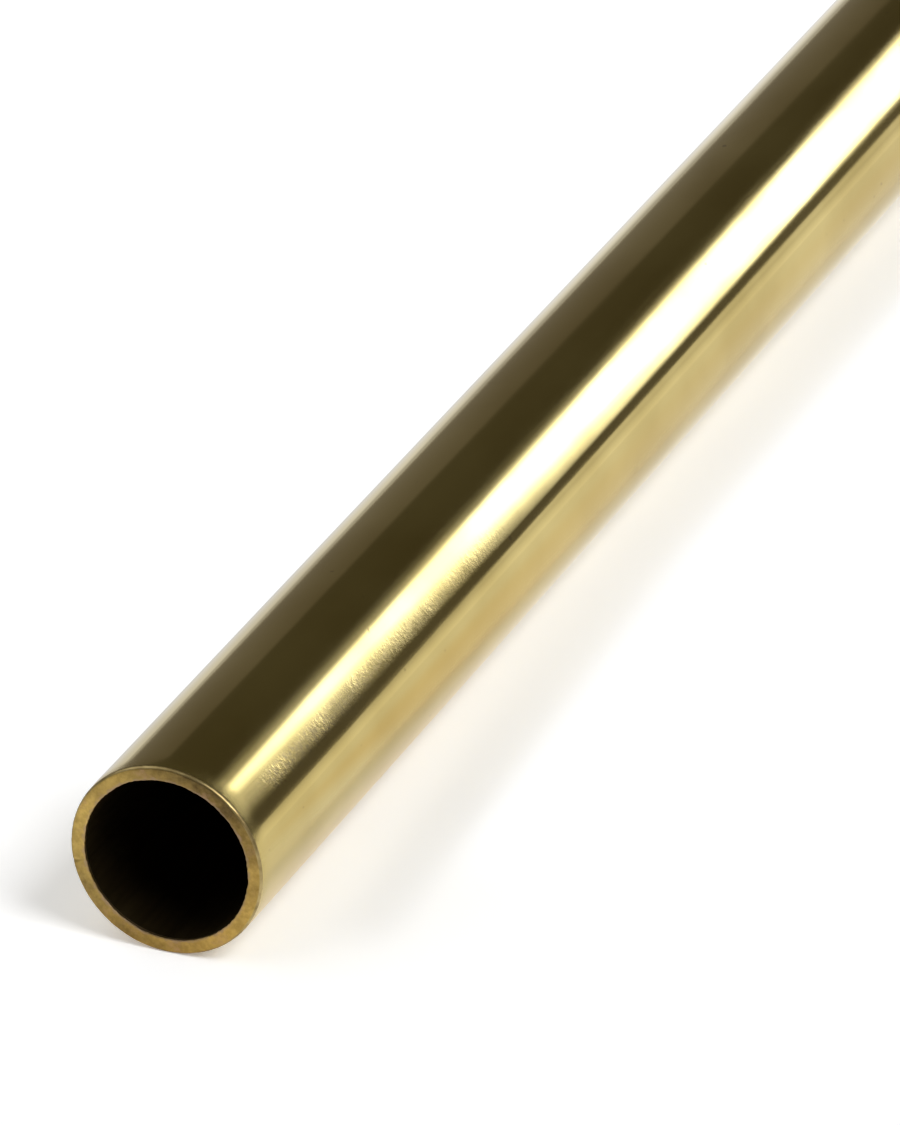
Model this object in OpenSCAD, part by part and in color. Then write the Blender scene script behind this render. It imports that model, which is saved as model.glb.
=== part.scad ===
// Straight length of round drawn brass tube, sawn square and deburred at both ends.
// It lies along Y on the plane z = 0, with its length centred on the origin. Sizes are in millimetres.

/* [Tube] */
// Outside diameter
outer_d = 12.7; // [8:0.1:25]
// Thickness of the wall, the same all round
wall = 0.914; // [0.6:0.001:2]
// Length from one sawn face to the other
length = 304.8; // [50:0.1:1000]

/* [Ends] */
// Width of the deburring bevel at each mouth of the bore
bore_bevel = 0.08; // [0.02:0.01:0.25]
// Radius that breaks the outer edge of each sawn face
edge_round = 0.15; // [0.02:0.01:0.25]

/* [Hidden] */
$fn = 180;
outer_r = outer_d / 2;
bore_r = outer_r - wall;

// Cuts away what lies outside a quarter circle, for a square corner at the origin.
module corner_rounding(radius) {
    translate([-radius, -radius])
        difference() {
            square(2 * radius);
            circle(radius);
        }
}

// Cuts a 45 degree bevel of the given width from a square corner at the origin.
module corner_bevel(width) {
    rotate(45) square(width * sqrt(2), center = true);
}

// What deburring takes off one end, in the plane of the wall's section.
module end_cuts() {
    translate([outer_r, length / 2]) corner_rounding(edge_round);
    translate([bore_r, length / 2]) corner_bevel(bore_bevel);
}

// Lengthwise section of the wall: X is the distance from the axis, Y runs along it.
module wall_section() {
    difference() {
        translate([bore_r, -length / 2]) square([wall, length]);
        end_cuts();
        mirror([0, 1]) end_cuts();
    }
}

module tube() {
    color("#c8ad68")
        translate([0, 0, outer_r])
            rotate([-90, 0, 0])
                rotate_extrude() wall_section();
}

tube();
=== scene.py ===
"""Looks of a sawn length of polished brass tube that lies on a white studio floor."""

import math

import bpy
from mathutils import Matrix, Vector, noise


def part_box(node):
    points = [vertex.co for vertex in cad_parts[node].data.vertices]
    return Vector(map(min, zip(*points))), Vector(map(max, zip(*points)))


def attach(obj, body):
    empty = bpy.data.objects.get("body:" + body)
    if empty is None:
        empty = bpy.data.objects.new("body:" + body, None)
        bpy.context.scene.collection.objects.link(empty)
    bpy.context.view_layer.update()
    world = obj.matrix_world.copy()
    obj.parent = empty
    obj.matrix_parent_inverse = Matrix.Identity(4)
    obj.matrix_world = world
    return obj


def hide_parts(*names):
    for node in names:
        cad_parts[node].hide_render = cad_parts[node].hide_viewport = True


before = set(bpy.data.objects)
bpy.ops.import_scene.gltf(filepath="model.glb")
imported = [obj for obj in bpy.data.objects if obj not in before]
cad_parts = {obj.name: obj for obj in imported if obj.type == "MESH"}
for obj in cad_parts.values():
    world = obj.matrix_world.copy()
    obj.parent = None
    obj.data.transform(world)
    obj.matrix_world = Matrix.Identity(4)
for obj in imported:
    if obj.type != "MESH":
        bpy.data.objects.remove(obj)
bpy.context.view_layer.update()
tube_low, tube_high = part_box("tube")

MM = 0.001
UM = 0.000001

# Tube, in metres. It lies along Y, with its middle at Y = 0.
NEAR_Y = tube_low.y
FAR_Y = tube_high.y
OUTER_R = (tube_high.x - tube_low.x) / 2
AXIS_Z = OUTER_R
WALL = 0.914 * MM
BORE_R = OUTER_R - WALL

# Steps of the mesh, around the tube and along the wall's section. The roll-off's last ring lies short of the
# round, and the round's last steps have the finish of the face.
SEGMENTS = 480
BODY_STEPS = 14
ROLL_OFF_RINGS = 9
ROLL_OFF_STEPS = 10.5
ROUND_STEPS = 8
WORN_ROUND_STEPS = 6
FACE_STEPS = 9

# Material of each zone along the section, by its slot
SLOT_OF_ZONE = {"outside": 0, "edge": 1, "face": 2, "lip": 2, "bore": 3}

# Sawn ends: the outside rolls off and its edge is rounded, most at one angle and least opposite it. The far
# end is turned against the near one.
WORN_ANGLE = 50.0
FAR_END_TURN = 70.0
ROLL_OFF_LENGTH = 1.7 * MM
MOST_DROP = 0.062 * MM
LEAST_DROP = 0.015 * MM
MOST_ROUND = 0.23 * MM
LEAST_ROUND = 0.15 * MM

# Lip of the bore: a small bevel that ends in a burr, and the burr's fading into the bore
BORE_BEVEL = 0.03 * MM
BURR = 0.03 * MM
BURR_FADE_DEPTH = BORE_BEVEL * 3
BURR_FADE = 0.7
BURR_END_DEPTH = BORE_BEVEL * 10

# Ragged waver of the lip, and of the outer edge: two sizes of noise around the tube, and their weights
LIP_WAVER = 0.05 * MM
EDGE_WAVER = LIP_WAVER * 0.25
COARSE_SCALE = 6.0
COARSE_WEIGHT = 0.6
FINE_SCALE = 26.0
FINE_WEIGHT = 0.8
FAR_END_SHIFT = 7.0

# Small nick in the near face. It starts at a share of the wall and deepens outwards.
NICK_ANGLE = 191.0
NICK_HALF_WIDTH = 1.0
NICK_DEPTH = 0.07 * MM
NICK_START = 0.25
NICK_SLOPE = 3

# Scuffed patch on the outside, by its angle around the tube and its stretch from the near end. Its core is
# a share of its half angle.
SCUFF_ANGLE = 39.5
SCUFF_HALF_ANGLE = 8.5
SCUFF_CORE = 0.4
SCUFF_START = 1.6 * MM
SCUFF_FULL = SCUFF_START * 4
SCUFF_END = 46.0 * MM
SCUFF_THINS = SCUFF_END * 0.6

# Brown stain of the scuffs, by the distance from the sawn face, and the strength of their relief between
# their clumps and of the same relief off the patch
STAIN_FULL_TO = 13 * MM
STAIN_THIN_FROM = 26 * MM
STAIN_LEAST = 0.35
CLUMP_LEAST = 0.25
GRAIN_ELSEWHERE = 0.02

# Specks on the outside
SPECK_STRENGTH = 0.5

# Colours of the metal, in linear light
OUTSIDE_LIGHT = (0.58, 0.46, 0.168, 1)
OUTSIDE_DEEP = (0.50, 0.385, 0.125, 1)
SCUFF_BROWN = (0.34, 0.26, 0.10, 1)
SPECK_BROWN = (0.2, 0.14, 0.05, 1)
EDGE_LIGHT = (0.44, 0.34, 0.15, 1)
EDGE_DEEP = (0.26, 0.19, 0.075, 1)
FACE_GOLD_LIGHT = (0.70, 0.49, 0.14, 1)
FACE_GOLD_DEEP = (0.56, 0.385, 0.105, 1)
# Brown of the painted shade on the sawn faces
FACE_SHADE_LIGHT = (0.13, 0.09, 0.036, 1)
FACE_SHADE_DEEP = (0.09, 0.06, 0.022, 1)
FACE_PINK = (0.46, 0.29, 0.17, 1)
LIP_PINK = (0.36, 0.26, 0.18, 1)
# Near-black brown of the bore, painted shade of its depth
BORE_LIGHT = (0.12, 0.085, 0.035, 1)
BORE_DEEP = (0.08, 0.055, 0.022, 1)

# Roughness: the range of each finish, and what each fault adds to that of the outside. The ends are duller
# between two distances from the sawn face.
OUTSIDE_GLOSS = (0.06, 0.09)
EDGE_GLOSS = (0.3, 0.42)
FACE_GLOSS = (0.36, 0.5)
BORE_GLOSS = 0.45
LINE_DULLING = 0.03
SPECK_DULLING = 0.06
SCUFF_DULLING = 0.06
END_DULLING = 0.14
END_DULL_LENGTH = 1.8 * MM
END_DULLEST = 0.1 * MM

# Heights of the fine relief
SWAY_HEIGHT = 4 * UM
SCUFF_HEIGHT = 9.0 * UM
LINE_HEIGHT = 0.05 * UM
EDGE_HEIGHT = 9 * UM
SAW_HEIGHT = 9 * UM
FACE_HEIGHT = 12 * UM
STREAK_HEIGHT = 10 * UM

# Painted shade on the sawn faces, which turns them brown: strongest at one angle, strong opposite it, and
# broken up by noise
FACE_DARK_ANGLE = 57.0
FACE_DARK_BOTH_WAYS = 0.6
FACE_DARK_ONE_WAY = 0.14
FACE_DARK_NOISE = 1.1
FACE_DARK_START = 0.31
FACE_DARK_FULL = 1.27

# Pink of the sawn faces, and of their lip, by the distance outside the bore less the noise
FACE_PINK_MOST = 0.5
LIP_PINK_MOST = 0.6
LIP_PINK_START = -0.1 * MM
LIP_PINK_FULL = -0.22 * MM
LIP_PINK_NOISE = 0.5 * MM

# Camera, measured from the middle of the near end
CAMERA_OFFSET = Vector((0.21755, -0.48151, 0.28651))
CAMERA_HEADING = 22.448
CAMERA_DOWN = 26.759
CAMERA_LENS = 317.4
SENSOR_SIZE = 36.0
CLIP_START = 0.01
CLIP_END = 100.0

# Studio
WHITE = (1, 1, 1, 1)
WORLD_LIGHT = 0.14
FLOOR_R = 14.0
FLOOR_SIDES = 96
FLOOR_WHITE = (0.93, 0.93, 0.93, 1)
FLOOR_LIFT = 0.27
# Painted light at the left of the tube that lightens its shadow there
LEFT_LIFT = 0.1
PLAIN_FLOOR_GLOW = 1.05
PLAIN_FLOOR_FROM = 0.8
PLAIN_FLOOR_FULL = 2.2

# Floor as the tube shows it: the tints that stand in for the light that the tube throws on it
WARM_TINT = (0.62, 0.36, 0.0, 1)
WARM_PLAIN_TINT = (0.95, 0.865, 0.71, 1)

# Fades on the floor, from their start to their end, in outer radii of the tube. They are measured across the
# floor from the tube's axis, or along it from the near end, and the last one from the far end. SPREAD_LEAST
# is the share that is left after SPREAD_FALL.
WARM_ACROSS = (1.25, 0.5)
WARM_ALONG = (10.0, 4.0)
SPREAD_OUTER = (5.0, 2.5)
SPREAD_INNER = (0.9, 1.7)
SPREAD_START = (3.5, 6.0)
SPREAD_FALL = (8.0, 14.0)
SPREAD_LEAST = 0.45
LEFT_LIFT_ACROSS = (0.0, -1.2)
# Beside the tube, plain white paints over the outer part of its shadow
BARE_LEFT = (-1.2, -2.0)
BARE_RIGHT = (1.8, 2.3)
BARE_ALONG = (2.0, 3.6)
BARE_PAST_FAR_END = (1.0, 4.0)

# Outer band of the shadow at the right, a painted shadow that weakens the floor's own light there. It slants
# towards the tube over its first stretch.
BAND_DEPTH = 0.1
BAND_SLANT = 0.055
BAND_SLANT_LENGTH = 10 * OUTER_R
BAND_INNER = (1.1, 1.65)
BAND_OUTER = (2.2, 1.7)
BAND_START = (0.5, 1.6)
BAND_FALL = (4.0, 9.0)
BAND_LEAST = 0.3

# Dim room that only reflections see. Heights and places across are shares of its radius.
ROOM_R = 8.0
ROOM_ROWS = 24
ROOM_COLUMNS = 48
ROOM_LEVEL = 1.12
FOOT_COLOUR = (0.26, 0.24, 0.22, 1)
LOW_WALL_COLOUR = (0.185, 0.173, 0.16, 1)
HIGH_WALL_COLOUR = (0.143, 0.132, 0.123, 1)
CEILING_COLOUR = (0.077, 0.071, 0.053, 1)
FOOT_FADE = (0.0, 0.05)
WALL_FADE = (0.06, 0.4)
CEILING_FADE = (0.425, 0.445)
SIDE_FADE = (-0.2, 0.47)
SIDE_LEVEL = 0.775
FAR_SIDE_FADE = (0.47, 0.6)
FAR_SIDE_LEVEL = 0.69

# White card far behind the tube that only reflections see. Corners are azimuth and elevation.
WHITE_CARD_CORNERS = ((20.0, -0.1), (35.6, -0.1), (33.6, 2.0), (31.5, 3.0), (20.0, 6.5))
WHITE_CARD_DISTANCE = 3.5
WHITE_CARD_GLOW = 0.95

# Cards just above the floor beside the tube. Distances are away from a card's inner edge, or along the
# tube from its near end in outer radii.
FLOOR_CARD_REACH = 4.0
FLOOR_CARD_HEIGHT = 0.0003
FLOOR_CARD_COVER = 0.005
FLOOR_CARD_EDGE = 0.015
FLOOR_CARD_RISE = (6.0, 22.0)
FLOOR_CARD_CORNER_ALONG = (20.0, 31.0)
FLOOR_CARD_CORNER_AWAY = (0.03, 0.09)

# Soft light behind the tube. Directions are azimuth from +Y towards +X, and elevation.
BACK_DIRECTION = (19.0, 20.5)
BACK_DISTANCE = 5.5
BACK_COLOUR = (0.95, 1.0, 1.18, 1)
BACK_GLOW = 8.9
BACK_LIMIT = 5.2
BACK_MIDDLE = -0.056
BACK_FALL = 19.5
BACK_RIGHT_FALL = 3.9

# Its edges, as shares of its distance, measured from its middle, and how far each one fades
BACK_LEFT = -0.25
BACK_LEFT_SOFT = 0.03
BACK_RIGHT = 0.154
BACK_RIGHT_SOFT = 0.028
BACK_LEAN = 0.40
BACK_TOP = 0.166
BACK_TOP_RISE = 0.08
BACK_TOP_SOFT = 0.022
BACK_BOTTOM = -0.059
BACK_BOTTOM_DROP = 0.64
BACK_BOTTOM_SOFT = 0.014

# Dim rim past its right and top edges, and what the panel has beyond the rim
RIM_GLOW = 0.56
RIM_LEFT = -0.2
RIM_LEFT_SOFT = 0.2
RIM_RIGHT = 0.52
RIM_RIGHT_SOFT = 0.14
RIM_TOP_WIDTH = 0.125
RIM_BOTTOM = -0.2
RIM_BOTTOM_SOFT = 0.19
MARGIN_RIGHT = 0.06
MARGIN_TOP = 0.05
MARGIN_BOTTOM = 0.02

# Soft lights at the right and left, a little in front of the near end
SIDE_DISTANCE = 5.0
RIGHT_DIRECTION = (105.0, 49.0)
RIGHT_SIZE = 2.6
RIGHT_GLOW = 8.6
LEFT_DIRECTION = (-113.0, 50.0)
LEFT_SIZE = 5.6
LEFT_GLOW = 0.98


# Nodes
class Nodes:
    """A node tree that grows node by node. An input is a constant or another node's output."""

    def __init__(self, owner):
        owner.use_nodes = True
        self.tree = owner.node_tree
        self.tree.nodes.clear()

    def set_input(self, socket, value):
        if isinstance(value, bpy.types.NodeSocket):
            self.tree.links.new(value, socket)
        else:
            socket.default_value = value

    def add(self, kind, inputs=None, **settings):
        node = self.tree.nodes.new(kind)
        for name, value in settings.items():
            setattr(node, name, value)
        for key, value in (inputs or {}).items():
            self.set_input(node.inputs[key], value)
        return node

    def math(self, operation, *values):
        node = self.add("ShaderNodeMath", dict(enumerate(values)), operation=operation)
        return node.outputs[0]

    def product(self, first, *others):
        for value in others:
            first = self.math("MULTIPLY", first, value)
        return first

    def remap(self, value, low, high, to_low=0.0, to_high=1.0, smooth=False):
        kind = "SMOOTHSTEP" if smooth else "LINEAR"
        inputs = {"Value": value, "From Min": low, "From Max": high, "To Min": to_low, "To Max": to_high}
        return self.add("ShaderNodeMapRange", inputs, interpolation_type=kind).outputs[0]

    def radii_remap(self, value, fade, to_low=0.0, to_high=1.0, smooth=False):
        """Remaps a distance, over a fade that is given in outer radii of the tube."""
        start, end = fade
        return self.remap(value, start * OUTER_R, end * OUTER_R, to_low, to_high, smooth)

    def mix_colour(self, factor, first, second):
        # Its sockets are numbered here, because each kind of mix has inputs of the same names.
        return self.add("ShaderNodeMix", {0: factor, 6: first, 7: second}, data_type="RGBA").outputs[2]

    def point(self):
        """Object coordinates."""
        return self.add("ShaderNodeTexCoord").outputs["Object"]

    def place(self, scale=(1.0, 1.0, 1.0), turn=(0.0, 0.0, 0.0)):
        """Object coordinates, scaled and turned."""
        inputs = {"Vector": self.point(), "Scale": scale, "Rotation": turn}
        return self.add("ShaderNodeMapping", inputs).outputs[0]

    def split(self, vector):
        return self.add("ShaderNodeSeparateXYZ", {0: vector}).outputs

    def noise(self, vector, scale, detail=2.0, roughness=0.5):
        """Noise with its middle at 0.5. Most of it lies between 0.3 and 0.7."""
        inputs = {"Vector": vector, "Scale": scale, "Detail": detail, "Roughness": roughness}
        return self.add("ShaderNodeTexNoise", inputs).outputs["Fac"]

    def bump(self, height, distance, under=None):
        inputs = {"Height": height, "Distance": distance, "Strength": 1.0}
        if under is not None:
            inputs["Normal"] = under
        return self.add("ShaderNodeBump", inputs).outputs[0]

    def emission(self, strength, colour=WHITE):
        return self.add("ShaderNodeEmission", {"Color": colour, "Strength": strength})

    def mix_shaders(self, factor, first, second):
        return self.add("ShaderNodeMixShader", {0: factor, 1: first.outputs[0], 2: second.outputs[0]})

    def add_shaders(self, first, second):
        return self.add("ShaderNodeAddShader", {0: first.outputs[0], 1: second.outputs[0]})

    def surface(self, shader):
        """Gives the material its shader."""
        self.add("ShaderNodeOutputMaterial", {"Surface": shader.outputs[0]})

    def metal(self, colour, roughness, normal):
        """Makes the material a metal."""
        inputs = {"Base Color": colour, "Metallic": 1.0, "Roughness": roughness, "Normal": normal}
        self.surface(self.add("ShaderNodeBsdfPrincipled", inputs))


def material_nodes(name):
    material = bpy.data.materials.new(name)
    return material, Nodes(material)


def add_object(name, verts, faces):
    mesh = bpy.data.meshes.new(name)
    mesh.from_pydata(verts, [], faces)
    obj = bpy.data.objects.new(name, mesh)
    bpy.context.scene.collection.objects.link(obj)
    return obj


def direction(azimuth, elevation):
    """Unit vector for an azimuth from +Y towards +X and an elevation, in degrees."""
    az = math.radians(azimuth)
    el = math.radians(elevation)
    return Vector((math.sin(az) * math.cos(el), math.cos(az) * math.cos(el), math.sin(el)))


# Tube
def end_section(drop, edge_round):
    """Section of one end's wall: from mid-length outside, round the sawn face, to mid-length in the bore.

    Each point is its distance from the sawn face, its radius and its zone.
    """
    half = (FAR_Y - NEAR_Y) / 2
    body = [half * (1 - i / BODY_STEPS) for i in range(BODY_STEPS)]
    section = [(depth, OUTER_R, "outside") for depth in body]
    for i in range(ROLL_OFF_RINGS):
        depth = ROLL_OFF_LENGTH * (1 - i / ROLL_OFF_STEPS)
        section.append((depth, OUTER_R - drop * (1 - depth / ROLL_OFF_LENGTH) ** 3, "outside"))
    # The round starts where its slope is that of the roll-off.
    left = 1 - edge_round / ROLL_OFF_LENGTH
    start = math.atan(3 * drop / ROLL_OFF_LENGTH * left ** 2)
    edge_r = OUTER_R - drop * left ** 3 - edge_round * math.cos(start)
    for i in range(ROUND_STEPS + 1):
        angle = start + (math.pi / 2 - start) * i / ROUND_STEPS
        depth = edge_round * (1 - math.sin(angle))
        zone = "edge" if i < WORN_ROUND_STEPS else "face"
        section.append((depth, edge_r + edge_round * math.cos(angle), zone))
    burr_r = BORE_R - BURR
    face_r = burr_r + BORE_BEVEL
    for i in range(1, FACE_STEPS):
        section.append((0.0, edge_r + (face_r - edge_r) * i / FACE_STEPS, "face"))
    section.append((0.0, face_r, "lip"))
    section.append((BORE_BEVEL, burr_r, "lip"))
    section.append((BURR_FADE_DEPTH, BORE_R - BURR * BURR_FADE, "lip"))
    section.append((BURR_END_DEPTH, BORE_R, "bore"))
    section += [(depth, BORE_R, "bore") for depth in reversed(body)]
    return section


def waver(angle, end):
    """Ragged waver around one end, from about -1 to 1."""
    around = Vector((math.cos(angle), math.sin(angle), end * FAR_END_SHIFT))
    coarse = noise.noise(around * COARSE_SCALE)
    fine = noise.noise(around * FINE_SCALE)
    return COARSE_WEIGHT * coarse + FINE_WEIGHT * fine


def nick_depth(angle, radius):
    """How deep the nick is at a point of the near face."""
    off = abs(math.degrees(angle) - NICK_ANGLE) / NICK_HALF_WIDTH
    outwards = max(0.0, (radius - BORE_R) / WALL - NICK_START)
    return NICK_DEPTH * max(0.0, 1.0 - off) * min(1.0, outwards * NICK_SLOPE)


def worn_point(ring, angle):
    """Place of a ring's point at one angle, between the lightly and the heavily worn section."""
    light, heavy, zone, end = ring
    worn = 0.5 + 0.5 * math.cos(angle - math.radians(WORN_ANGLE + FAR_END_TURN * end))
    depth = light[0] + (heavy[0] - light[0]) * worn
    radius = light[1] + (heavy[1] - light[1]) * worn
    if zone == "lip":
        radius -= LIP_WAVER * waver(angle, end)
    if zone == "edge":
        radius -= EDGE_WAVER * waver(angle, end)
    if zone in ("edge", "face") and end == 0:
        depth += nick_depth(angle, radius)
    y = FAR_Y - depth if end else NEAR_Y + depth
    return (radius * math.cos(angle), y, AXIS_Z + radius * math.sin(angle))


def build_tube():
    """One closed surface: outside, rounded edges, sawn faces, lips and bore."""
    lightly = end_section(LEAST_DROP, LEAST_ROUND)
    heavily = end_section(MOST_DROP, MOST_ROUND)
    near = [(light, heavy, light[2], 0) for light, heavy in zip(lightly, heavily)]
    far = [(light, heavy, light[2], 1) for light, heavy in zip(lightly, heavily)][::-1]
    rings = near[:-1] + far[:-1]
    angles = [2 * math.pi * s / SEGMENTS for s in range(SEGMENTS)]
    verts = [worn_point(ring, angle) for ring in rings for angle in angles]
    faces = []
    slots = []
    for k, ring in enumerate(rings):
        after = rings[(k + 1) % len(rings)]
        # Of its two rings, a strip has the zone of the one nearer to the outside along the section.
        zone = ring[2] if k < len(near) - 1 else after[2]
        start = k * SEGMENTS
        start_after = (k + 1) % len(rings) * SEGMENTS
        for s in range(SEGMENTS):
            t = (s + 1) % SEGMENTS
            faces.append((start + s, start + t, start_after + t, start_after + s))
            slots.append(SLOT_OF_ZONE[zone])
    tube = add_object("brass_tube", verts, faces)
    for material in (polished_brass(), worn_edge(), sawn_brass(), bore_painted_shade()):
        tube.data.materials.append(material)
    for polygon, slot in zip(tube.data.polygons, slots):
        polygon.material_index = slot
        polygon.use_smooth = True
    return tube


def scuff_mask(nodes):
    """1 in the scuffed patch on the outside near the near end, fading to 0 around it."""
    point = nodes.split(nodes.point())
    height = nodes.math("SUBTRACT", point["Z"], AXIS_Z)
    angle = nodes.math("ARCTAN2", height, point["X"])
    off = nodes.math("ABSOLUTE", nodes.math("SUBTRACT", angle, math.radians(SCUFF_ANGLE)))
    core = math.radians(SCUFF_HALF_ANGLE * SCUFF_CORE)
    around = nodes.remap(off, math.radians(SCUFF_HALF_ANGLE), core, smooth=True)
    depth = nodes.math("SUBTRACT", point["Y"], NEAR_Y)
    begun = nodes.remap(depth, SCUFF_START, SCUFF_FULL, smooth=True)
    left = nodes.remap(depth, SCUFF_END, SCUFF_THINS, smooth=True)
    return nodes.product(around, nodes.product(begun, left))


def outside_relief(nodes, plain, lines, scuffed):
    """Slight sway, the scuffs in clumps, and the lengthwise lines."""
    sway = nodes.noise(plain, scale=220.0, detail=1.0)
    grain = nodes.noise(plain, scale=3200.0, detail=4.0, roughness=0.62)
    clumps = nodes.remap(nodes.noise(plain, scale=170.0), 0.4, 0.6, CLUMP_LEAST, 1.0)
    scuffs = nodes.product(grain, nodes.math("MULTIPLY_ADD", scuffed, clumps, GRAIN_ELSEWHERE))
    normal = nodes.bump(sway, SWAY_HEIGHT)
    normal = nodes.bump(scuffs, SCUFF_HEIGHT, normal)
    return nodes.bump(lines, LINE_HEIGHT, normal)


def polished_brass():
    """Drawn and polished outside: fine lengthwise lines, dull patches, specks, scuffs and satin ends."""
    material, nodes = material_nodes("polished_brass")
    plain = nodes.place()
    patches = nodes.noise(nodes.place(scale=(1.0, 0.6, 1.0)), scale=130.0, detail=3.0)
    lines = nodes.noise(nodes.place(scale=(1.0, 0.02, 1.0)), scale=3500.0, detail=3.0, roughness=0.6)
    specks = nodes.remap(nodes.noise(plain, scale=1500.0, detail=1.0), 0.78, 0.82)
    broken = nodes.noise(plain, scale=2600.0, detail=3.0, roughness=0.6)
    scuffed = scuff_mask(nodes)
    dulled = nodes.product(scuffed, nodes.remap(broken, 0.42, 0.62))
    face_distance = nodes.math("SUBTRACT", FAR_Y, nodes.math("ABSOLUTE", nodes.split(plain)["Y"]))
    stain = nodes.remap(face_distance, STAIN_FULL_TO, STAIN_THIN_FROM, 1.0, STAIN_LEAST)
    colour = nodes.mix_colour(nodes.remap(patches, 0.38, 0.62), OUTSIDE_LIGHT, OUTSIDE_DEEP)
    colour = nodes.mix_colour(nodes.product(dulled, stain), colour, SCUFF_BROWN)
    colour = nodes.mix_colour(nodes.product(specks, SPECK_STRENGTH), colour, SPECK_BROWN)
    gloss = nodes.remap(patches, 0.3, 0.7, *OUTSIDE_GLOSS)
    gloss = nodes.math("ADD", gloss, nodes.remap(lines, 0.4, 0.7, 0.0, LINE_DULLING))
    gloss = nodes.math("MULTIPLY_ADD", specks, SPECK_DULLING, gloss)
    gloss = nodes.math("MULTIPLY_ADD", dulled, SCUFF_DULLING, gloss)
    satin = nodes.remap(face_distance, END_DULL_LENGTH, END_DULLEST, 0.0, END_DULLING, smooth=True)
    gloss = nodes.math("ADD", gloss, satin)
    nodes.metal(colour, gloss, outside_relief(nodes, plain, lines, scuffed))
    return material


def worn_edge():
    """Broken outer edges: satin, a little darker than the outside, with fine relief."""
    material, nodes = material_nodes("worn_edge")
    plain = nodes.place()
    stains = nodes.noise(plain, scale=1200.0, detail=3.0)
    relief = nodes.noise(plain, scale=4500.0, detail=3.0)
    colour = nodes.mix_colour(nodes.remap(stains, 0.35, 0.65), EDGE_LIGHT, EDGE_DEEP)
    gloss = nodes.remap(stains, 0.3, 0.7, *EDGE_GLOSS)
    nodes.metal(colour, gloss, nodes.bump(relief, EDGE_HEIGHT))
    return material


def towards_angle(nodes, x, z, angle):
    """Near 1 on the side of the tube that faces this angle, near -1 on the opposite side."""
    across = nodes.product(x, math.cos(math.radians(angle)) / OUTER_R)
    return nodes.math("MULTIPLY_ADD", z, math.sin(math.radians(angle)) / OUTER_R, across)


def face_painted_shade(nodes, x, z, patches):
    """How far painted shade turns a sawn face brown, from 0 to 1."""
    lean = towards_angle(nodes, x, z, FACE_DARK_ANGLE)
    shade = nodes.product(nodes.math("MULTIPLY_ADD", lean, FACE_DARK_BOTH_WAYS, FACE_DARK_ONE_WAY), lean)
    shade = nodes.math("MULTIPLY_ADD", patches, FACE_DARK_NOISE, shade)
    return nodes.remap(shade, FACE_DARK_START, FACE_DARK_FULL)


def lip_pink(nodes, x, z, tint, fine):
    """How pink the lip of a sawn face is."""
    radius = nodes.math("SQRT", nodes.math("MULTIPLY_ADD", x, x, nodes.product(z, z)))
    outside_bore = nodes.math("SUBTRACT", radius, BORE_R)
    edge = nodes.math("MULTIPLY_ADD", fine, -LIP_PINK_NOISE, outside_bore)
    near_lip = nodes.remap(edge, LIP_PINK_START, LIP_PINK_FULL, 0.0, LIP_PINK_MOST)
    return nodes.product(near_lip, nodes.remap(tint, 0.35, 0.55))


def sawn_brass():
    """Sawn faces: satin, with painted shade that darkens them at the upper right and lower left, with saw
    lines and a pinkish lip.
    """
    material, nodes = material_nodes("sawn_brass")
    plain = nodes.place()
    patches = nodes.noise(plain, scale=420.0, detail=4.0, roughness=0.65)
    tint = nodes.noise(plain, scale=700.0, detail=4.0, roughness=0.65)
    fine = nodes.noise(plain, scale=3200.0, detail=3.0, roughness=0.6)
    saw = nodes.noise(nodes.place(scale=(1.0, 0.1, 0.06), turn=(0.0, 0.5, 0.0)), scale=7000.0)
    relief = nodes.noise(plain, scale=4000.0, detail=3.0)
    point = nodes.split(nodes.point())
    x = point["X"]
    z = nodes.math("SUBTRACT", point["Z"], AXIS_Z)
    gold = nodes.mix_colour(nodes.remap(fine, 0.36, 0.64), FACE_GOLD_LIGHT, FACE_GOLD_DEEP)
    brown = nodes.mix_colour(nodes.remap(fine, 0.36, 0.64), FACE_SHADE_LIGHT, FACE_SHADE_DEEP)
    # Painted shade: the face turns brown towards one angle and opposite it, broken up by the patches
    colour = nodes.mix_colour(face_painted_shade(nodes, x, z, patches), gold, brown)
    colour = nodes.mix_colour(nodes.remap(tint, 0.56, 0.7, 0.0, FACE_PINK_MOST), colour, FACE_PINK)
    colour = nodes.mix_colour(lip_pink(nodes, x, z, tint, fine), colour, LIP_PINK)
    gloss = nodes.remap(tint, 0.3, 0.7, *FACE_GLOSS)
    nodes.metal(colour, gloss, nodes.bump(relief, FACE_HEIGHT, nodes.bump(saw, SAW_HEIGHT)))
    return material


def bore_painted_shade():
    """Inside of the bore: near-black brown that is painted shade, streaked lengthwise."""
    material, nodes = material_nodes("bore_painted_shade")
    streaks = nodes.noise(nodes.place(scale=(1.0, 0.05, 1.0)), scale=1400.0, detail=3.0)
    colour = nodes.mix_colour(nodes.remap(streaks, 0.35, 0.65), BORE_LIGHT, BORE_DEEP)
    nodes.metal(colour, BORE_GLOSS, nodes.bump(streaks, STREAK_HEIGHT))
    return material


# Studio
def only_in_reflections(obj):
    obj.visible_camera = False
    obj.visible_diffuse = False
    obj.visible_shadow = False


def white_seen(nodes):
    """1 for rays that look or reflect, 0 for rays that carry light."""
    path = nodes.add("ShaderNodeLightPath").outputs
    seen = nodes.math("MAXIMUM", path["Is Camera Ray"], path["Is Glossy Ray"])
    return nodes.math("MAXIMUM", seen, path["Is Transmission Ray"])


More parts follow.
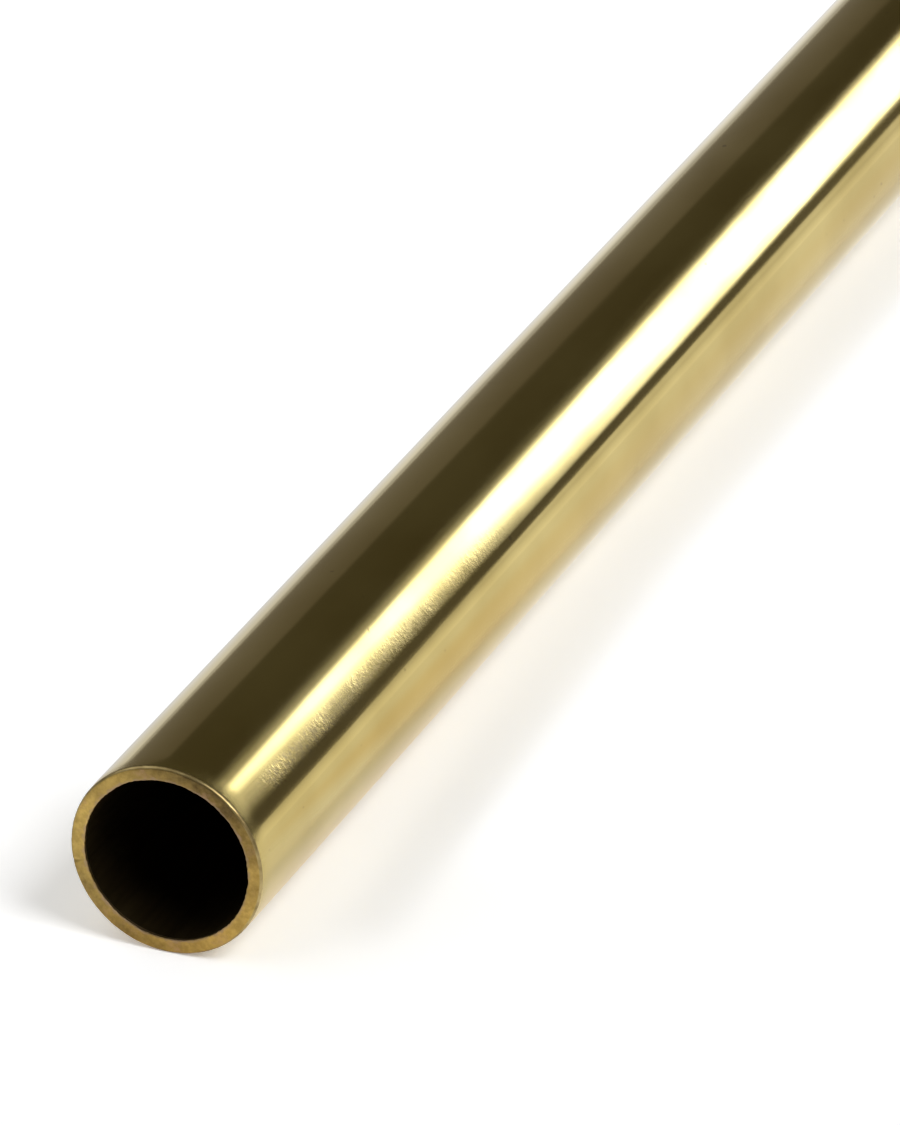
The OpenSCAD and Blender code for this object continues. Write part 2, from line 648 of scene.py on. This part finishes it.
def floor_tints(nodes, x, past):
    """Colours of the floor's own light and of the plain floor, warmer near the tube in its reflections.

    The warmth lies close under the tube's side at first, and spreads out farther along it.
    """
    reflected = nodes.add("ShaderNodeLightPath").outputs["Is Glossy Ray"]
    across = nodes.math("ABSOLUTE", x)
    beside = nodes.radii_remap(across, WARM_ACROSS, smooth=True)
    first_stretch = nodes.radii_remap(past, WARM_ALONG, smooth=True)
    warm = nodes.product(beside, first_stretch, reflected)
    outer = nodes.radii_remap(across, SPREAD_OUTER, smooth=True)
    inner = nodes.radii_remap(across, SPREAD_INNER, smooth=True)
    begun = nodes.radii_remap(past, SPREAD_START, smooth=True)
    fallen = nodes.radii_remap(past, SPREAD_FALL, 1.0, SPREAD_LEAST)
    spread = nodes.product(outer, inner, begun, fallen, reflected)
    near_tint = nodes.mix_colour(nodes.math("MAXIMUM", warm, spread), WHITE, WARM_TINT)
    return near_tint, nodes.mix_colour(spread, WHITE, WARM_PLAIN_TINT)


def floor_lift(nodes, x, slanted, past):
    """Strength of the floor's own light: less in the outer band of the shadow, which is painted shadow, and
    more at the left, which is painted light that lightens the shadow there.
    """
    inner = nodes.radii_remap(slanted, BAND_INNER, smooth=True)
    outer = nodes.radii_remap(slanted, BAND_OUTER, smooth=True)
    begun = nodes.radii_remap(past, BAND_START, smooth=True)
    fallen = nodes.radii_remap(past, BAND_FALL, 1.0, BAND_LEAST)
    band = nodes.product(inner, outer, begun, fallen)
    # Painted shadow: the floor's own light is weaker in the band
    lit = nodes.math("MULTIPLY_ADD", band, -BAND_DEPTH, FLOOR_LIFT)
    return nodes.math("ADD", lit, nodes.radii_remap(x, LEFT_LIFT_ACROSS, 0.0, LEFT_LIFT, smooth=True))


def plain_floor(nodes, point, x, y, slanted, past):
    """Where the floor is plain white: far away, past the far end, and beside the tube on both sides, where
    plain white paints over the outer part of its shadow.
    """
    distance = nodes.add("ShaderNodeVectorMath", {0: point}, operation="LENGTH").outputs["Value"]
    far = nodes.remap(distance, PLAIN_FLOOR_FROM, PLAIN_FLOOR_FULL, smooth=True)
    start, end = BARE_PAST_FAR_END
    beyond = nodes.remap(y, FAR_Y + start * OUTER_R, FAR_Y + end * OUTER_R, smooth=True)
    along = nodes.radii_remap(past, BARE_ALONG, smooth=True)
    at_left = nodes.product(nodes.radii_remap(x, BARE_LEFT, smooth=True), along)
    at_right = nodes.product(nodes.radii_remap(slanted, BARE_RIGHT, smooth=True), along)
    bare = nodes.math("MAXIMUM", far, beyond)
    bare = nodes.math("MAXIMUM", bare, at_left)
    return nodes.math("MAXIMUM", bare, at_right)


def white_floor():
    """White paper with some light of its own where it is seen, and plain white away from the tube."""
    material, nodes = material_nodes("white_floor")
    point = nodes.point()
    split = nodes.split(point)
    x = split["X"]
    y = split["Y"]
    past = nodes.math("SUBTRACT", y, NEAR_Y)
    along_band = nodes.remap(past, 0.0, BAND_SLANT_LENGTH, 0.0, BAND_SLANT_LENGTH)
    slanted = nodes.math("MULTIPLY_ADD", along_band, BAND_SLANT, x)
    seen = white_seen(nodes)
    near_tint, plain_tint = floor_tints(nodes, x, past)
    lift = nodes.emission(nodes.product(seen, floor_lift(nodes, x, slanted, past)), near_tint)
    paper = nodes.add("ShaderNodeBsdfDiffuse", {"Color": FLOOR_WHITE})
    plain = nodes.emission(PLAIN_FLOOR_GLOW, plain_tint)
    bare = nodes.product(plain_floor(nodes, point, x, y, slanted, past), seen)
    nodes.surface(nodes.mix_shaders(bare, nodes.add_shaders(paper, lift), plain))
    return material


def build_floor():
    """Round floor that keeps the shadow near the tube and is plain white far away."""
    angles = [2 * math.pi * i / FLOOR_SIDES for i in range(FLOOR_SIDES)]
    ring = [(FLOOR_R * math.cos(angle), FLOOR_R * math.sin(angle), 0.0) for angle in angles]
    floor = add_object("floor", ring, [tuple(range(FLOOR_SIDES))])
    floor.data.materials.append(white_floor())


def set_world():
    """Even soft light; white where it is seen."""
    world = bpy.data.worlds.new("studio")
    bpy.context.scene.world = world
    nodes = Nodes(world)
    light = nodes.add("ShaderNodeBackground", {"Color": WHITE, "Strength": WORLD_LIGHT})
    white = nodes.add("ShaderNodeBackground", {"Color": WHITE, "Strength": 1.0})
    shader = nodes.mix_shaders(white_seen(nodes), light, white)
    nodes.add("ShaderNodeOutputWorld", {"Surface": shader.outputs[0]})


def place_panel(panel, towards, distance):
    """Puts a panel in a direction from the near end, facing it, with its local X to the right and Y up."""
    across = Vector((towards.y, -towards.x, 0.0)).normalized()
    up = across.cross(towards)
    turn = Matrix((across, up, -towards)).transposed().to_4x4()
    centre = Vector((0.0, NEAR_Y, AXIS_Z)) + towards * distance
    panel.matrix_world = Matrix.Translation(centre) @ turn
    panel.visible_camera = False
    panel.visible_shadow = False


def back_glow(nodes, x, y, leaning, below_top):
    """Main glow of the back light: brightest below its middle, with a soft edge on each side."""
    above_bottom = nodes.math("SUBTRACT", nodes.math("MULTIPLY_ADD", x, BACK_BOTTOM_DROP, y), BACK_BOTTOM)
    from_left = nodes.remap(x, BACK_LEFT - BACK_LEFT_SOFT, BACK_LEFT + BACK_LEFT_SOFT, smooth=True)
    right = BACK_RIGHT + BACK_RIGHT_SOFT
    from_right = nodes.remap(leaning, right, BACK_RIGHT - BACK_RIGHT_SOFT, smooth=True)
    from_bottom = nodes.remap(above_bottom, -BACK_BOTTOM_SOFT, BACK_BOTTOM_SOFT, smooth=True)
    from_top = nodes.remap(below_top, -BACK_TOP_SOFT, BACK_TOP_SOFT, smooth=True)
    height = nodes.math("SUBTRACT", y, BACK_MIDDLE)
    fall = nodes.product(height, height, -BACK_FALL)
    fall = nodes.math("MULTIPLY_ADD", nodes.math("MAXIMUM", x, 0.0), -BACK_RIGHT_FALL, fall)
    glow = nodes.product(nodes.math("EXPONENT", fall), BACK_GLOW)
    glow = nodes.math("MINIMUM", glow, BACK_LIMIT)
    return nodes.product(glow, from_left, from_right, from_bottom, from_top)


def back_rim(nodes, x, y, leaning, below_top):
    """Dim rim of the back light, past the right and top edges of its glow."""
    rim = nodes.remap(leaning, RIM_RIGHT, RIM_RIGHT - RIM_RIGHT_SOFT, 0.0, RIM_GLOW, smooth=True)
    from_left = nodes.remap(x, RIM_LEFT, RIM_LEFT + RIM_LEFT_SOFT, smooth=True)
    from_top = nodes.remap(below_top, -RIM_TOP_WIDTH, 0.0, smooth=True)
    from_bottom = nodes.remap(y, RIM_BOTTOM, RIM_BOTTOM + RIM_BOTTOM_SOFT, smooth=True)
    return nodes.product(rim, from_left, from_top, from_bottom)


def soft_back_glow():
    """Glow and rim on a panel that is clear elsewhere."""
    material, nodes = material_nodes("back_light")
    share = nodes.split(nodes.place(scale=(1 / BACK_DISTANCE, 1 / BACK_DISTANCE, 1.0)))
    x = share["X"]
    y = share["Y"]
    leaning = nodes.math("MULTIPLY_ADD", y, BACK_LEAN, x)
    below_top = nodes.math("SUBTRACT", nodes.math("MULTIPLY_ADD", x, BACK_TOP_RISE, BACK_TOP), y)
    glow = back_glow(nodes, x, y, leaning, below_top)
    rim = back_rim(nodes, x, y, leaning, below_top)
    emission = nodes.emission(nodes.math("ADD", glow, rim), BACK_COLOUR)
    clear = nodes.add("ShaderNodeBsdfTransparent")
    nodes.surface(nodes.add_shaders(emission, clear))
    return material


def build_back_light():
    """Large soft light behind the tube, with soft edges and a dim rim."""
    left = (BACK_LEFT - BACK_LEFT_SOFT) * BACK_DISTANCE
    right = (RIM_RIGHT + MARGIN_RIGHT) * BACK_DISTANCE
    bottom = (RIM_BOTTOM - MARGIN_BOTTOM) * BACK_DISTANCE
    top = (BACK_TOP + RIM_TOP_WIDTH + MARGIN_TOP) * BACK_DISTANCE
    corners = [(left, bottom, 0), (right, bottom, 0), (right, top, 0), (left, top, 0)]
    panel = add_object("back_light", corners, [(0, 1, 2, 3)])
    panel.data.materials.append(soft_back_glow())
    panel.visible_diffuse = False
    place_panel(panel, direction(*BACK_DIRECTION), BACK_DISTANCE)


def even_glow(name, strength):
    material, nodes = material_nodes(name)
    nodes.surface(nodes.emission(strength))
    return material


def build_side_light(name, towards, size, glow):
    half = size / 2
    corners = [(-half, -half, 0), (half, -half, 0), (half, half, 0), (-half, half, 0)]
    panel = add_object(name, corners, [(0, 1, 2, 3)])
    panel.data.materials.append(even_glow(name, glow))
    place_panel(panel, direction(*towards), SIDE_DISTANCE)


def dim_room():
    """Walls, lighter towards the floor and darker towards the right, and a darker ceiling."""
    material, nodes = material_nodes("dim_room")
    point = nodes.split(nodes.point())
    rise = nodes.math("DIVIDE", point["Z"], ROOM_R)
    wall = nodes.mix_colour(nodes.remap(rise, *WALL_FADE), LOW_WALL_COLOUR, HIGH_WALL_COLOUR)
    wall = nodes.mix_colour(nodes.remap(rise, *FOOT_FADE), FOOT_COLOUR, wall)
    colour = nodes.mix_colour(nodes.remap(rise, *CEILING_FADE), wall, CEILING_COLOUR)
    side = nodes.math("DIVIDE", point["X"], ROOM_R)
    dim = nodes.remap(side, *SIDE_FADE, 1.0, SIDE_LEVEL)
    far_dim = nodes.remap(side, *FAR_SIDE_FADE, 1.0, FAR_SIDE_LEVEL)
    nodes.surface(nodes.emission(nodes.product(dim, far_dim, ROOM_LEVEL), colour))
    return material


def build_room():
    """Dim domed room that only reflections see."""
    verts = []
    for i in range(ROOM_ROWS + 1):
        elevation = math.pi / 2 * i / ROOM_ROWS
        flat = ROOM_R * math.cos(elevation)
        z = AXIS_Z + ROOM_R * math.sin(elevation)
        for j in range(ROOM_COLUMNS):
            angle = 2 * math.pi * j / ROOM_COLUMNS
            verts.append((flat * math.cos(angle), flat * math.sin(angle), z))
    faces = []
    for i in range(ROOM_ROWS):
        low = i * ROOM_COLUMNS
        high = low + ROOM_COLUMNS
        for j in range(ROOM_COLUMNS):
            k = (j + 1) % ROOM_COLUMNS
            faces.append((low + j, low + k, high + k, high + j))
    room = add_object("room", verts, faces)
    room.data.materials.append(dim_room())
    only_in_reflections(room)


def build_white_card():
    """White card far behind the tube that only reflections see, lower towards the right."""
    verts = []
    for azimuth, elevation in WHITE_CARD_CORNERS:
        corner = direction(azimuth, elevation) * WHITE_CARD_DISTANCE
        verts.append((corner.x, corner.y + NEAR_Y, corner.z + AXIS_Z))
    card = add_object("white_card", verts, [tuple(range(len(verts)))])
    card.data.materials.append(even_glow("white_card", WHITE_CARD_GLOW))
    only_in_reflections(card)


def floor_card_level(nodes, away, past, near, far, fade_length, edge, rise, corner_dim):
    """Brightness of a floor card.

    It goes from near to far with the distance away, and is multiplied by edge at the card's inner edge, by
    rise farther along the tube, and by what corner_dim leaves in the card's far outer corner.
    """
    fade = nodes.math("EXPONENT", nodes.product(away, -1 / fade_length))
    level = nodes.math("MULTIPLY_ADD", fade, near - far, far)
    at_edge = nodes.remap(away, 0.0, FLOOR_CARD_EDGE, edge, 1.0)
    risen = nodes.radii_remap(past, FLOOR_CARD_RISE, 1.0, rise)
    along = nodes.radii_remap(past, FLOOR_CARD_CORNER_ALONG)
    corner = nodes.product(along, nodes.remap(away, *FLOOR_CARD_CORNER_AWAY))
    left = nodes.math("MULTIPLY_ADD", corner, -corner_dim, 1.0)
    return nodes.product(level, at_edge, risen, left)


def build_floor_card(name, inner, outer, **levels):
    """Card just above the floor beside the tube, seen only in reflections, that dims the floor there as
    painted shade.
    """
    z = FLOOR_CARD_HEIGHT
    low = -FLOOR_CARD_REACH
    high = FLOOR_CARD_REACH
    corners = [(inner, low, z), (outer, low, z), (outer, high, z), (inner, high, z)]
    card = add_object(name, corners, [(0, 1, 2, 3)])
    material, nodes = material_nodes(name)
    point = nodes.split(nodes.point())
    away = nodes.math("SUBTRACT", nodes.math("ABSOLUTE", point["X"]), abs(inner))
    past = nodes.math("SUBTRACT", point["Y"], NEAR_Y)
    emission = nodes.emission(floor_card_level(nodes, away, past, **levels))
    clear = nodes.add("ShaderNodeBsdfTransparent")
    cover = nodes.remap(away, 0.0, FLOOR_CARD_COVER, smooth=True)
    nodes.surface(nodes.mix_shaders(cover, clear, emission))
    card.data.materials.append(material)
    only_in_reflections(card)


def set_camera():
    data = bpy.data.cameras.new("camera")
    data.lens = CAMERA_LENS
    data.sensor_width = SENSOR_SIZE
    data.clip_start = CLIP_START
    data.clip_end = CLIP_END
    camera = bpy.data.objects.new("camera", data)
    bpy.context.scene.collection.objects.link(camera)
    camera.location = Vector((0.0, NEAR_Y, AXIS_Z)) + CAMERA_OFFSET
    camera.rotation_euler = (math.radians(90 - CAMERA_DOWN), 0.0, math.radians(CAMERA_HEADING))
    bpy.context.scene.camera = camera


set_camera()
set_world()
bpy.context.scene.view_settings.view_transform = "Standard"
build_floor()
build_room()
build_white_card()
build_floor_card(
    "left_card", inner=-0.009, outer=-4.0,
    near=0.86, far=0.72, fade_length=0.08, edge=0.72, rise=1.14, corner_dim=0.38,
)
build_floor_card(
    "right_card", inner=0.038, outer=4.0,
    near=1.2, far=0.87, fade_length=0.07, edge=1.0, rise=1.0, corner_dim=0.0,
)
build_back_light()
build_side_light("right_light", RIGHT_DIRECTION, RIGHT_SIZE, RIGHT_GLOW)
build_side_light("left_light", LEFT_DIRECTION, LEFT_SIZE, LEFT_GLOW)

tube = build_tube()
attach(tube, "root")
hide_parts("tube")
